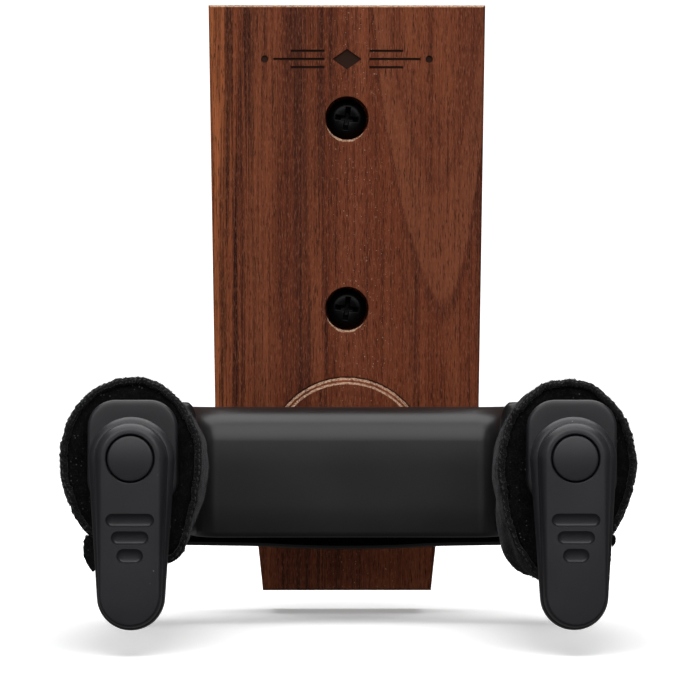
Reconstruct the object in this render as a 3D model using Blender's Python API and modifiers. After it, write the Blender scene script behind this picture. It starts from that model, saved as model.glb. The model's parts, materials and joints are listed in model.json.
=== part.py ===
"""Wall guitar hanger: a walnut plate with a swivelling padded yoke and two gates.

Metres, +Z up. The plate's back lies on the wall plane y = 0 and the arms come forward along -Y.
z = 0 is midway between the two wall screws. The yoke and everything on it is modelled in a frame of
its own, whose origin is on the swivel axis and which is tipped so that the arms rise a little.
"""

import math

import bmesh
import bpy
from mathutils import Matrix

MM = 0.001
GAP = 0.3 * MM
FORWARD = (math.pi / 2, 0.0, 0.0)

# Plate, outlined like a headstock standing upside down
PLATE_THICK = 19.0 * MM
PLATE_TOP = 48.1 * MM
PLATE_BOTTOM = -87.1 * MM
TOP_HALF = 32.0 * MM
SHOULDER_HALF = 30.3 * MM
SHOULDER_Z = -55.0 * MM
NECK_HALF = 20.6 * MM
NECK_Z = -76.0 * MM
BOTTOM_HALF = 19.4 * MM
SHOULDER_RADIUS = 5.0 * MM
PLATE_CHAMFER = 0.5 * MM

# Wall screws
SCREW_SPACING = 44.0 * MM
COUNTERBORE_RADIUS = 5.05 * MM
COUNTERBORE_DEPTH = 6.0 * MM
SCREW_HOLE_RADIUS = 2.7 * MM
HEAD_RADIUS = 4.5 * MM
HEAD_HEIGHT = 3.2 * MM
SHANK_RADIUS = 2.2 * MM
SHANK_LENGTH = 45.0 * MM
RECESS_SPAN = 5.2 * MM
RECESS_WIDTH = 1.0 * MM
RECESS_DEPTH = 1.8 * MM

# Swivel
SWIVEL_Z = -56.5 * MM
DISC_RADIUS = 18.5 * MM
DISC_FACE = -22.0 * MM
DISC_POCKET = 2.0 * MM
DISC_CHAMFER = 1.5 * MM
STUD_RADIUS = 4.0 * MM
BUSH_RADIUS = 6.0 * MM
NUT_POCKET_RADIUS = 12.0 * MM
NUT_POCKET_DEPTH = 11.0 * MM
NUT_ACROSS_FLATS = 13.0 * MM
HUB_RADIUS = 10.5 * MM
HUB_REAR = -23.6 * MM

# Yoke frame: its origin and tilt
YOKE_ORIGIN_Y = -26.0 * MM
TILT = math.radians(4.0)
WEB_Z = -3.8 * MM
ARM_Z = -4.9 * MM
ARM_X = 44.4 * MM

# Shell of the yoke: sizes in plan and section
WEB_DEPTH = 25.0 * MM
WEB_HEIGHT = 29.5 * MM
GAP_HALF = 33.4 * MM
INNER_FILLET = 5.0 * MM
SHELL_HALF = 55.5 * MM
SHELL_CORNER = 11.0 * MM
HUB_ARC_RADIUS = 36.0 * MM
STUB_END = 38.0 * MM
SHELL_WALL = 2.5 * MM
TOP_FILLET = 7.0 * MM
REAR_DROP = 2.2 * MM

# Steel bar
ROD_RADIUS = 4.5 * MM
ROD_WEB = 16.0 * MM
ROD_BEND = 12.0 * MM
ROD_END = 100.9 * MM
ROD_BOSS_RADIUS = 8.0 * MM

# Padded arms: distances forward of the yoke's origin
CORE_END = 99.0 * MM
PANEL_THICK = 1.5 * MM
SLEEVE_END = 101.6 * MM
SLEEVE_HALF = 14.4 * MM
SLEEVE_ABOVE = 17.0 * MM
SLEEVE_BELOW = 19.5 * MM
SLEEVE_THICK = 1.5 * MM

# End caps, gates and their pivots
CAP_WIDTH = 18.1 * MM
CAP_HEIGHT = 21.7 * MM
CAP_RISE = 1.5 * MM
CAP_CORNER = 5.0 * MM
CAP_REAR = 101.1 * MM
CAP_FRONT = 107.0 * MM
GATE_REAR = 108.2 * MM
GATE_STEP = 112.6 * MM
GATE_FRONT = 117.0 * MM
GATE_ROOT_RADIUS = 8.66 * MM
GATE_TIP_RADIUS = 6.8 * MM
GATE_REACH = 34.1 * MM
GATE_ROOT_INSET = 1.4 * MM
GATE_TIP_INSET = 0.5 * MM
GATE_CHAMFER = 0.9 * MM
BUTTON_RADIUS = 4.7 * MM
PIVOT_RADIUS = 2.5 * MM
THREAD_RADIUS = 2.0 * MM
GROOVES = ((-12.3, 9.7, 2.7), (-15.8, 7.5, 2.7), (-19.4, 5.3, 2.9))
GROOVE_DEPTH = 0.8 * MM

# Colour, roughness and metallic value of each material
FINISHES = {
    "walnut": ((0.17, 0.068, 0.036), 0.5, 0.0),
    "black_zinc": ((0.02, 0.02, 0.021), 0.38, 0.8),
    "bright_steel": ((0.55, 0.55, 0.56), 0.35, 1.0),
    "black_plastic": ((0.022, 0.022, 0.024), 0.42, 0.0),
    "charcoal_plastic": ((0.045, 0.045, 0.05), 0.5, 0.0),
    "white_nylon": ((0.75, 0.74, 0.7), 0.5, 0.0),
    "black_foam": ((0.03, 0.03, 0.03), 0.95, 0.0),
    "black_felt": ((0.008, 0.008, 0.009), 1.0, 0.0),
}


def clear_scene():
    for obj in list(bpy.data.objects):
        bpy.data.objects.remove(obj, do_unlink=True)


def new_collection(name):
    collection = bpy.data.collections.new(name)
    bpy.context.scene.collection.children.link(collection)
    return collection


def finish_material(name):
    existing = bpy.data.materials.get(name)
    if existing:
        return existing
    colour, roughness, metallic = FINISHES[name]
    mat = bpy.data.materials.new(name)
    mat.use_nodes = True
    shader = mat.node_tree.nodes["Principled BSDF"]
    shader.inputs["Base Color"].default_value = (*colour, 1.0)
    shader.inputs["Roughness"].default_value = roughness
    shader.inputs["Metallic"].default_value = metallic
    return mat


def place(obj, collection, location=(0.0, 0.0, 0.0), rotation=(0.0, 0.0, 0.0), parent=None):
    collection.objects.link(obj)
    obj.location = location
    obj.rotation_euler = rotation
    obj.parent = parent
    return obj


def add_part(name, mesh, finish, location=(0.0, 0.0, 0.0), rotation=(0.0, 0.0, 0.0), parent=None):
    obj = bpy.data.objects.new(name, mesh)
    mesh.materials.append(finish_material(finish))
    return place(obj, PARTS, location, rotation, parent)


def add_tool(name, mesh, location=(0.0, 0.0, 0.0), rotation=(0.0, 0.0, 0.0), parent=None):
    obj = bpy.data.objects.new(name, mesh)
    obj.hide_render = True
    obj.display_type = "WIRE"
    return place(obj, TOOLS, location, rotation, parent)


def combine(obj, tool, operation="DIFFERENCE"):
    """Cuts or joins a tool, then welds the vertices that the cut leaves a rounding error apart."""
    boolean = obj.modifiers.new(tool.name, "BOOLEAN")
    boolean.operation = operation
    boolean.solver = "EXACT"
    boolean.object = tool
    weld = obj.modifiers.new(f"{tool.name}_weld", "WELD")
    weld.merge_threshold = 0.002 * MM


def add_empty(name, location, rotation=(0.0, 0.0, 0.0), parent=None):
    empty = bpy.data.objects.new(name, None)
    return place(empty, PARTS, location, rotation, parent)


# Meshes ------------------------------------------------------------------------------------------


def arc(centre, radius, start, end, count):
    """Points on a circle from one angle to another, in degrees, both ends included."""
    step = (end - start) / count
    angles = [math.radians(start + step * i) for i in range(count + 1)]
    return [(centre[0] + radius * math.cos(a), centre[1] + radius * math.sin(a)) for a in angles]


def curve_to_mesh(curve, name):
    obj = bpy.data.objects.new(name, curve)
    bpy.context.scene.collection.objects.link(obj)
    graph = bpy.context.evaluated_depsgraph_get()
    mesh = bpy.data.meshes.new_from_object(obj.evaluated_get(graph))
    bpy.data.objects.remove(obj, do_unlink=True)
    shape = bmesh.new()
    shape.from_mesh(mesh)
    bmesh.ops.remove_doubles(shape, verts=shape.verts, dist=0.001 * MM)
    bmesh.ops.dissolve_limit(
        shape, angle_limit=math.radians(0.05), verts=shape.verts, edges=shape.edges
    )
    shape.to_mesh(mesh)
    shape.free()
    mesh.name = name
    return mesh


def slab(name, loops, thickness):
    """Closed outlines in XY, filled and made thick about z = 0; an inner outline is a hole."""
    curve = bpy.data.curves.new(name, "CURVE")
    curve.dimensions = "2D"
    curve.fill_mode = "BOTH"
    curve.extrude = thickness / 2
    for loop in loops:
        spline = curve.splines.new("POLY")
        spline.points.add(len(loop) - 1)
        for point, (x, y) in zip(spline.points, loop):
            point.co = (x, y, 0.0, 1.0)
        spline.use_cyclic_u = True
    return curve_to_mesh(curve, name)


def front_slab(name, loops, rear, front):
    """A slab whose outlines lie in XZ and which reaches from one forward distance to another."""
    mesh = slab(name, loops, front - rear)
    mesh.transform(Matrix.Rotation(math.pi / 2, 4, "X"))
    mesh.transform(Matrix.Translation((0.0, -(front + rear) / 2, 0.0)))
    return mesh


def bevel_edges(mesh, chosen, width, segments):
    """Bevels the sharp edges for which chosen(edge) holds."""
    shape = bmesh.new()
    shape.from_mesh(mesh)
    edges = [e for e in shape.edges if e.calc_face_angle(0.0) > math.radians(40) and chosen(e)]
    bmesh.ops.bevel(
        shape, geom=edges, offset=width, segments=segments, profile=0.5, affect="EDGES", clamp_overlap=True
    )
    shape.to_mesh(mesh)
    shape.free()


def bevel_front(mesh, front, width, segments=1):
    """Bevels the edges around a front face at the given forward distance."""

    def on_front(edge):
        return all(abs(v.co.y + front) < 0.01 * MM for v in edge.verts)

    bevel_edges(mesh, on_front, width, segments)


def turned(name, profile, steps):
    """A profile of (radius, forward distance) turned about its axis; it runs front to rear outside."""
    mesh = bpy.data.meshes.new(name)
    verts = [(radius, 0.0, forward) for radius, forward in profile]
    closed = profile[0][0] > 0.0
    last = len(verts) if closed else len(verts) - 1
    mesh.from_pydata(verts, [(i, (i + 1) % len(verts)) for i in range(last)], [])
    obj = bpy.data.objects.new(name, mesh)
    bpy.context.scene.collection.objects.link(obj)
    screw = obj.modifiers.new("turn", "SCREW")
    screw.axis = "Z"
    screw.steps = steps
    screw.render_steps = steps
    screw.use_merge_vertices = True
    screw.merge_threshold = 0.001 * MM
    graph = bpy.context.evaluated_depsgraph_get()
    solid = bpy.data.meshes.new_from_object(obj.evaluated_get(graph))
    bpy.data.objects.remove(obj, do_unlink=True)
    solid.name = name
    solid.shade_smooth()
    solid.set_sharp_from_angle(angle=math.radians(35))
    return solid


def ring_profile(inner, outer, rear, front):
    return [(outer, front), (outer, rear), (inner, rear), (inner, front)]


def pin_profile(radius, rear, front):
    return [(0.0, front), (radius, front), (radius, rear), (0.0, rear)]


def box(name, size):
    mesh = bpy.data.meshes.new(name)
    shape = bmesh.new()
    bmesh.ops.create_cube(shape, size=1.0, matrix=Matrix.Diagonal((*size, 1.0)))
    shape.to_mesh(mesh)
    shape.free()
    return mesh


def drill(obj, name, radius, rear, front, x=0.0, z=0.0, parent=None, steps=32):
    """Cuts a round hole along Y between two forward distances."""
    tool = add_tool(name, turned(name, pin_profile(radius, rear, front), steps), (x, 0.0, z), FORWARD, parent)
    combine(obj, tool)


# Outlines ----------------------------------------------------------------------------------------


def mirrored(half):
    """Closes an outline from its right half, whose ends may lie on the middle line."""
    left = [(-x, y) for x, y in reversed(half) if abs(x) > 0.001 * MM]
    return half + left


def plate_outline():
    corner = (SHOULDER_HALF - SHOULDER_RADIUS, SHOULDER_Z)
    throat = (NECK_HALF + SHOULDER_RADIUS, NECK_Z)
    across, up = corner[0] - throat[0], corner[1] - throat[1]
    lean = math.atan2(across, up) + math.asin(2 * SHOULDER_RADIUS / math.hypot(across, up))
    slope = math.degrees(lean)
    half = [(BOTTOM_HALF, PLATE_BOTTOM)]
    half += arc(throat, SHOULDER_RADIUS, 180.0, 180.0 - slope, 4)
    half += arc(corner, SHOULDER_RADIUS, -slope, 0.0, 4)
    half += [(TOP_HALF, PLATE_TOP)]
    return mirrored(half)


def circle(radius, count):
    return arc((0.0, 0.0), radius, 0.0, 360.0 - 360.0 / count, count - 1)


def rounded_box(width, height, radius, rise=0.0):
    x, z = width / 2 - radius, height / 2 - radius
    half = arc((x, rise - z), radius, -90.0, 0.0, 5) + arc((x, rise + z), radius, 0.0, 90.0, 5)
    return mirrored(half)


def stadium(width, height):
    radius = height / 2
    half = arc((width / 2 - radius, 0.0), radius, -90.0, 90.0, 8)
    return mirrored(half)


def lever_outline(root_inset, tip_inset):
    """A big circle at the pivot and a small one near the tip, with the two tangents between."""
    root, tip = GATE_ROOT_RADIUS - root_inset, GATE_TIP_RADIUS - tip_inset
    length = GATE_REACH - GATE_TIP_RADIUS
    lean = math.degrees(math.asin((root - tip) / length))
    outline = arc((0.0, 0.0), root, -lean, 180.0 + lean, 18)
    outline += arc((0.0, -length), tip, 180.0 + lean, 360.0 - lean, 14)
    return outline


def arm_outline(inset, count=44):
    """The padded arm's section: round above the bar, narrower and longer below it."""
    outline = []
    for i in range(count):
        angle = 2 * math.pi * i / count
        rise = math.sin(angle)
        reach = SLEEVE_ABOVE if rise > 0 else SLEEVE_BELOW
        narrowing = 1.0 - 0.16 * max(0.0, -rise) ** 1.5
        outline.append(((SLEEVE_HALF - inset) * math.cos(angle) * narrowing, (reach - inset) * rise))
    return outline


def shell_outline():
    """The yoke in plan: a hub bulge behind, a flat wall in front and the stubs of two arms."""
    bulge, lead = 30.0, 8.0
    blend = 16.0 * MM
    half = arc((0.0, -HUB_ARC_RADIUS), HUB_ARC_RADIUS, 90.0, 90.0 - bulge, 7)
    x = (HUB_ARC_RADIUS + blend) * math.sin(math.radians(bulge))
    y = (HUB_ARC_RADIUS + blend) * math.cos(math.radians(bulge)) - HUB_ARC_RADIUS
    hollow = arc((x, y), blend, 270.0 - bulge, 270.0 - lead, 3)
    half += hollow[1:]
    slope = math.tan(math.radians(lead))
    corner_x = SHELL_HALF - SHELL_CORNER
    start_x = corner_x + SHELL_CORNER * math.sin(math.radians(lead))
    start_y = hollow[-1][1] - (start_x - hollow[-1][0]) * slope
    corner_y = start_y - SHELL_CORNER * math.cos(math.radians(lead))
    half += arc((corner_x, corner_y), SHELL_CORNER, 90.0 - lead, 0.0, 7)
    half += [(SHELL_HALF, -STUB_END), (GAP_HALF, -STUB_END)]
    inner = (GAP_HALF - INNER_FILLET, -WEB_DEPTH - INNER_FILLET)
    half += arc(inner, INNER_FILLET, 0.0, 90.0, 5)
    return mirrored(half)


# Pieces on the wall ------------------------------------------------------------------------------


def make_backplate():
    mesh = front_slab("backplate", [plate_outline()], 0.0, PLATE_THICK)

    def outer_edge(edge):
        return all(abs(v.co.y + PLATE_THICK) < 0.01 * MM for v in edge.verts)

    bevel_edges(mesh, outer_edge, PLATE_CHAMFER, 1)
    plate = add_part("backplate", mesh, "walnut")
    for side, z in (("upper", SCREW_SPACING / 2), ("lower", -SCREW_SPACING / 2)):
        drill(plate, f"{side}_screw_hole", SCREW_HOLE_RADIUS, -MM, PLATE_THICK, z=z)
        floor = PLATE_THICK - COUNTERBORE_DEPTH
        drill(plate, f"{side}_counterbore", COUNTERBORE_RADIUS, floor, PLATE_THICK + MM, z=z)
    pocket = PLATE_THICK - DISC_POCKET
    drill(plate, "disc_pocket", DISC_RADIUS + GAP, pocket, PLATE_THICK + MM, z=SWIVEL_Z, steps=64)
    drill(plate, "bush_bore", BUSH_RADIUS + GAP, NUT_POCKET_DEPTH - MM, pocket + MM, z=SWIVEL_Z)
    drill(plate, "nut_pocket", NUT_POCKET_RADIUS, -MM, NUT_POCKET_DEPTH, z=SWIVEL_Z)


def make_pivot_disc():
    rear = PLATE_THICK - DISC_POCKET + GAP
    front = -DISC_FACE
    bore = BUSH_RADIUS + GAP
    profile = [
        (DISC_RADIUS - DISC_CHAMFER, front),
        (DISC_RADIUS, front - DISC_CHAMFER),
        (DISC_RADIUS, rear),
        (bore, rear),
        (bore, front),
    ]
    mesh = turned("pivot_disc", profile, 64)
    add_part("pivot_disc", mesh, "walnut", (0.0, 0.0, SWIVEL_Z), FORWARD)


def make_wall_screw(name, z):
    seat = PLATE_THICK - COUNTERBORE_DEPTH + GAP
    crown = arc((HEAD_RADIUS - 1.6 * MM, seat + HEAD_HEIGHT - 1.6 * MM), 1.6 * MM, 90.0, 0.0, 4)
    tip = seat - SHANK_LENGTH
    shank = [(HEAD_RADIUS, seat), (SHANK_RADIUS, seat), (SHANK_RADIUS, tip + 6 * MM), (0.0, tip)]
    profile = [(0.0, seat + HEAD_HEIGHT)] + crown + shank
    screw = add_part(name, turned(name, profile, 32), "black_zinc", (0.0, 0.0, z), FORWARD)
    for index, turn in enumerate((8.0, 98.0)):
        size = (RECESS_SPAN, RECESS_WIDTH, 2 * RECESS_DEPTH)
        slot = add_tool(f"{name}_slot_{index}", box(f"{name}_slot_{index}", size))
        slot.location = (0.0, -(seat + HEAD_HEIGHT), z)
        slot.rotation_euler = (math.pi / 2, math.radians(turn), 0.0)
        combine(screw, slot)


def make_swivel():
    """The stud with its nut and washers in the plate's back, and the bush that it turns in."""
    at_axis = {"location": (0.0, 0.0, SWIVEL_Z), "rotation": FORWARD}
    clear = STUD_RADIUS + GAP
    rear = 1.0 * MM
    stud = turned("swivel_stud", pin_profile(STUD_RADIUS, rear, 36.0 * MM), 24)
    add_part("swivel_stud", stud, "bright_steel", parent=SWIVEL, rotation=FORWARD)
    hexagon = circle(NUT_ACROSS_FLATS / math.sqrt(3), 6)
    nut = front_slab("lock_nut", [hexagon, circle(clear, 24)], rear, 7.2 * MM)
    add_part("lock_nut", nut, "bright_steel", parent=SWIVEL)
    spring = turned("spring_washer", ring_profile(clear, 7.0 * MM, 7.5 * MM, 8.9 * MM), 32)
    add_part("spring_washer", spring, "bright_steel", **at_axis)
    washer = turned("rear_washer", ring_profile(clear, 9.0 * MM, 9.2 * MM, 10.7 * MM), 32)
    add_part("rear_washer", washer, "bright_steel", **at_axis)
    bush_front = -DISC_FACE - 0.2 * MM
    bush = turned("hub_bush", ring_profile(clear, BUSH_RADIUS, NUT_POCKET_DEPTH + GAP, bush_front), 32)
    add_part("hub_bush", bush, "white_nylon", **at_axis)
    thrust = turned("thrust_washer", ring_profile(clear, 10.0 * MM, -DISC_FACE + GAP, -HUB_REAR - GAP), 32)
    add_part("thrust_washer", thrust, "white_nylon", **at_axis)


# Pieces on the yoke ------------------------------------------------------------------------------


def make_yoke_shell():
    mesh = slab("yoke_shell", [shell_outline()], WEB_HEIGHT)
    top, bottom = WEB_HEIGHT / 2, -WEB_HEIGHT / 2

    def rounded_top(edge):
        at_top = all(abs(v.co.z - top) < 0.01 * MM for v in edge.verts)
        at_stub_end = all(abs(v.co.y + STUB_END) < 0.01 * MM for v in edge.verts)
        return at_top and not at_stub_end

    shape = bmesh.new()
    shape.from_mesh(mesh)
    edges = [e for e in shape.edges if rounded_top(e)]
    bmesh.ops.bevel(shape, geom=edges, offset=TOP_FILLET, segments=4, profile=0.5, affect="EDGES")
    for vert in shape.verts:
        if vert.co.z < bottom + 0.01 * MM:
            vert.co.z -= REAR_DROP * (1.0 + vert.co.y / WEB_DEPTH)
    underside = [f for f in shape.faces if f.normal.z < -0.9]
    bmesh.ops.delete(shape, geom=underside, context="FACES_ONLY")
    shape.to_mesh(mesh)
    shape.free()
    mesh.shade_smooth()
    mesh.set_sharp_from_angle(angle=math.radians(35))
    shell = add_part("yoke_shell", mesh, "black_plastic", (0.0, 0.0, WEB_Z), parent=YOKE)
    wall = shell.modifiers.new("wall", "SOLIDIFY")
    wall.thickness = SHELL_WALL
    wall.offset = -1.0
    wall.use_even_offset = True
    hub = turned("shell_hub", pin_profile(HUB_RADIUS, -HUB_REAR, 30.0 * MM), 40)
    combine(shell, add_tool("shell_hub", hub, rotation=FORWARD, parent=SWIVEL), "UNION")
    drill(shell, "stud_clearance", STUD_RADIUS + GAP, 20.0 * MM, 32.0 * MM, parent=SWIVEL)
    for side, x in SIDES:
        bore = (ROD_RADIUS + GAP, STUB_END - 6 * MM, STUB_END + MM)
        drill(shell, f"{side}_rod_hole", *bore, x=x, z=ARM_Z, parent=YOKE)


def make_yoke_rod():
    bend = (ARM_X - ROD_BEND, -ROD_WEB - ROD_BEND)
    half = [(0.0, -ROD_WEB)] + arc(bend, ROD_BEND, 90.0, 0.0, 8) + [(ARM_X, -ROD_END)]
    left = [(-x, y) for x, y in reversed(half[1:])]
    curve = bpy.data.curves.new("yoke_rod", "CURVE")
    curve.dimensions = "3D"
    curve.bevel_depth = ROD_RADIUS
    curve.bevel_resolution = 4
    curve.use_fill_caps = True
    spline = curve.splines.new("POLY")
    spline.points.add(len(left + half) - 1)
    for point, (x, y) in zip(spline.points, left + half):
        point.co = (x, y, ARM_Z, 1.0)
    mesh = curve_to_mesh(curve, "yoke_rod")
    mesh.shade_smooth()
    mesh.set_sharp_from_angle(angle=math.radians(50))
    rod = add_part("yoke_rod", mesh, "bright_steel", parent=YOKE)
    boss = turned("rod_boss", pin_profile(ROD_BOSS_RADIUS, 30.3 * MM, 41.0 * MM), 32)
    combine(rod, add_tool("rod_boss", boss, rotation=FORWARD, parent=SWIVEL), "UNION")
    drill(rod, "stud_socket", STUD_RADIUS + GAP, 29.0 * MM, 37.0 * MM, parent=SWIVEL)
    for side, x in SIDES:
        socket = (THREAD_RADIUS + GAP, ROD_END - 14 * MM, ROD_END + MM)
        drill(rod, f"{side}_screw_socket", *socket, x=x, z=ARM_Z, parent=YOKE, steps=20)


def make_padding(side, x):
    bore = circle(ROD_RADIUS + GAP, 24)
    here = {"location": (x, 0.0, ARM_Z), "parent": YOKE}
    inside = arm_outline(SLEEVE_THICK)
    core_outline = arm_outline(SLEEVE_THICK + GAP)
    start = STUB_END + GAP
    core = front_slab(f"{side}_pad_core", [core_outline, bore], start, CORE_END)
    add_part(f"{side}_pad_core", core, "black_foam", **here)
    sleeve = front_slab(f"{side}_sleeve", [arm_outline(0.0), inside], start, SLEEVE_END)
    add_part(f"{side}_sleeve", sleeve, "black_felt", **here)
    rear = CORE_END + GAP
    panel = front_slab(f"{side}_end_panel", [core_outline, bore], rear, rear + PANEL_THICK)
    add_part(f"{side}_end_panel", panel, "black_felt", **here)


def make_end_cap(side, x):
    name = f"{side}_end_cap"
    mesh = front_slab(name, [rounded_box(CAP_WIDTH, CAP_HEIGHT, CAP_CORNER, CAP_RISE)], CAP_REAR, CAP_FRONT)
    bevel_front(mesh, CAP_FRONT, 0.6 * MM, 2)
    cap = add_part(name, mesh, "charcoal_plastic", (x, 0.0, ARM_Z), parent=YOKE)
    bore = (PIVOT_RADIUS + GAP, CAP_REAR - MM, CAP_FRONT + MM)
    drill(cap, f"{side}_cap_bore", *bore, x=x, z=ARM_Z, parent=YOKE)


def make_pivot(side, x):
    """The shoulder screw, the washer that gives the gate its drag, and the cover over the head."""
    here = {"location": (x, 0.0, ARM_Z), "rotation": FORWARD, "parent": YOKE}
    head_rear, head_front = 113.2 * MM, 115.2 * MM
    shoulder = ROD_END + GAP
    profile = [
        (0.0, head_front),
        (4.2 * MM, head_front),
        (4.2 * MM, head_rear),
        (PIVOT_RADIUS, head_rear),
        (PIVOT_RADIUS, shoulder),
        (THREAD_RADIUS, shoulder),
        (THREAD_RADIUS, shoulder - 12 * MM),
        (0.0, shoulder - 12 * MM),
    ]
    add_part(f"{side}_pivot_screw", turned(f"{side}_pivot_screw", profile, 24), "bright_steel", **here)
    washer_profile = ring_profile(3.0 * MM, 6.5 * MM, CAP_FRONT + GAP, GATE_REAR - GAP)
    washer = turned(f"{side}_wave_washer", washer_profile, 32)
    add_part(f"{side}_wave_washer", washer, "bright_steel", **here)
    front = GATE_FRONT + 0.3 * MM
    button_profile = [
        (0.0, front),
        (BUTTON_RADIUS - 0.8 * MM, front - 0.05 * MM),
        (BUTTON_RADIUS, front - 0.5 * MM),
        (BUTTON_RADIUS, head_front + GAP),
        (0.0, head_front + GAP),
    ]
    button = turned(f"{side}_button_cap", button_profile, 40)
    add_part(f"{side}_button_cap", button, "charcoal_plastic", **here)


def make_gate(side, x):
    name = f"{side}_gate"
    pivot = add_empty(f"{side}_gate_pivot", (x, 0.0, ARM_Z), parent=YOKE)
    base = front_slab(name, [lever_outline(0.0, 0.0)], GATE_REAR, GATE_STEP)
    bevel_front(base, GATE_STEP, GATE_CHAMFER)
    gate = add_part(name, base, "charcoal_plastic", parent=pivot)
    upper_name = f"{side}_gate_upper"
    upper = front_slab(upper_name, [lever_outline(GATE_ROOT_INSET, GATE_TIP_INSET)], GATE_STEP - MM, GATE_FRONT)
    bevel_front(upper, GATE_FRONT, GATE_CHAMFER)
    combine(gate, add_tool(upper_name, upper, parent=pivot), "UNION")
    drill(gate, f"{side}_gate_bore", PIVOT_RADIUS + GAP, GATE_REAR - MM, GATE_FRONT, parent=pivot)
    pocket = (BUTTON_RADIUS + GAP, GATE_STEP + GAP, GATE_FRONT + MM)
    drill(gate, f"{side}_button_pocket", *pocket, parent=pivot, steps=40)
    for index, (z, width, height) in enumerate(GROOVES):
        groove_name = f"{side}_groove_{index}"
        outline = [stadium(width * MM, height * MM)]
        groove = front_slab(groove_name, outline, GATE_FRONT - GROOVE_DEPTH, GATE_FRONT + MM)
        combine(gate, add_tool(groove_name, groove, (0.0, 0.0, z * MM), parent=pivot))


clear_scene()
PARTS = new_collection("wall_guitar_hanger")
TOOLS = new_collection("cutters")
SWIVEL = add_empty("swivel_axis", (0.0, 0.0, SWIVEL_Z))
YOKE = add_empty("yoke_frame", (0.0, YOKE_ORIGIN_Y, 0.0), (-TILT, 0.0, 0.0), SWIVEL)
SIDES = (("left", -ARM_X), ("right", ARM_X))

make_backplate()
make_pivot_disc()
make_wall_screw("wall_screw_upper", SCREW_SPACING / 2)
make_wall_screw("wall_screw_lower", -SCREW_SPACING / 2)
make_swivel()
make_yoke_shell()
make_yoke_rod()
for side_name, side_x in SIDES:
    make_padding(side_name, side_x)
    make_end_cap(side_name, side_x)
    make_pivot(side_name, side_x)
    make_gate(side_name, side_x)
bpy.context.view_layer.update()
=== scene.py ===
"""Looks of the wall guitar hanger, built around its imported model.

Metres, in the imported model's frame: the wall is y = 0 and the arms come forward along -Y. Pieces on the yoke
are modelled in a local frame that is tipped with the arms, where forward is -Y and up is +Z.
"""

import json
import random
from math import asin, atan2, cos, degrees, exp, hypot, pi, radians, sin, tan, tanh

import bmesh
import bpy
from mathutils import Matrix, Vector, noise


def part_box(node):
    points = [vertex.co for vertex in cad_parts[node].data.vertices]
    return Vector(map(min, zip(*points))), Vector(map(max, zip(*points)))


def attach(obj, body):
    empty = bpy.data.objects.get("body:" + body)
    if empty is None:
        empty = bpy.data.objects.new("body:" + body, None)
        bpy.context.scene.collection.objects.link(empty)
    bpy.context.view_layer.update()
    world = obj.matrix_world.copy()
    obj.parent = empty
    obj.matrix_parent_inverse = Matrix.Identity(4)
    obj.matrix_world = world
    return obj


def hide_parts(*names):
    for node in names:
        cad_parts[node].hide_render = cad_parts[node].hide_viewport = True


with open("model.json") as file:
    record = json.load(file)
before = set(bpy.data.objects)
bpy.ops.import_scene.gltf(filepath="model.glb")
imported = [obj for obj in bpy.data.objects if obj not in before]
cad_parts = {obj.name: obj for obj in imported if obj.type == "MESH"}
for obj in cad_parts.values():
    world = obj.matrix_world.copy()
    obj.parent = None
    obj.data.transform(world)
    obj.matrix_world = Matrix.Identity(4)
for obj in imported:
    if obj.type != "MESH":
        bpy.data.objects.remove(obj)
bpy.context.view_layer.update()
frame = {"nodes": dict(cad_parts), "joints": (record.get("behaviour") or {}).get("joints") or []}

MM = 0.001
NODES = frame["nodes"]
JOINTS = {joint["name"]: joint for joint in frame["joints"]}
SIDES = (("left", -1), ("right", 1))
SCENE = bpy.context.scene

# Camera and stage
EYE = (-8.7 * MM, -919 * MM, -31.6 * MM)
AIM = (0.7 * MM, -19 * MM, -31.6 * MM)
LENS = 200.4
FLOOR_Z = -92.5 * MM
SWEEP_GLOW = 0.3

# Wall pieces
COUNTERBORE_RADIUS = 5.05 * MM
ENGRAVE_DEPTH = 0.45 * MM
DISC_CHAMFER = 1.5 * MM
DISC_BORE = 6.3 * MM
SCREW_HEAD = 3.2 * MM

# Yoke
WEB_HEIGHT = 29.5 * MM
WEB_DEPTH = 25 * MM
WEB_RISE = 1.1 * MM
GAP_HALF = 33.4 * MM
STUB_REACH = 38 * MM
SHELL_WALL = 2.5 * MM
TOP_FILLET = 8.2 * MM
INNER_FILLET = 5 * MM
STUB_FILLET = 1.6 * MM
SHELL_CORNER = 11 * MM
HUB_ARC = 36 * MM
HUB_RADIUS = 10.5 * MM
REAR_DROP = 2.2 * MM

# Arms and gates
ARM_BORE = 4.8 * MM
PIVOT_BORE = 2.8 * MM
PAD_TAPER = 0.16
SLEEVE_ROLL = 0.75 * MM
CLOTH_SCALE = 20
CLOTH_FRAMES = 20
CLOTH_LIMIT = 0.7 * MM
CREASE_SPAN = 7
CAP_CORNER = 5.6 * MM
GATE_TIP = 6.8 * MM
GATE_STEP = 4.4 * MM
BUTTON_POCKET = 4.85 * MM

# How each sleeve sits: sideways and upward drift at the front, narrowing, and its slack places as
# (degrees below the side that faces the other arm, width, reach at the rim, reach behind the rim)
SET = {
    "left": (-0.6 * MM, 0.3 * MM, -0.1 * MM, ((64, 17, 4.4, 4.6), (35, 16, 0.7, 1))),
    "right": (-0.6 * MM, -0.3 * MM, 0.3 * MM, ((76, 24, 5.2, 5.4), (56, 16, 0, 4.4), (36, 14, 0.9, 1.3))),
}
# Loose seam ends: degrees outward from the bottom, drop and width in millimetres
TAILS = {
    "left": ((34, 7.4, 4.4), (20, 5, 4.4), (-8, 3, 4.4)),
    "right": ((43, 3, 1.3), (36, 6.2, 1.5), (-4, 3.6, 4.4)),
}
# Thumb grooves: height of the middle, width and height in millimetres
GROOVES = ((-12.3, 9.7, 2.7), (-15.8, 7.5, 2.7), (-19.4, 5.3, 2.9))


# -- Frames of the moving pieces --


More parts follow.
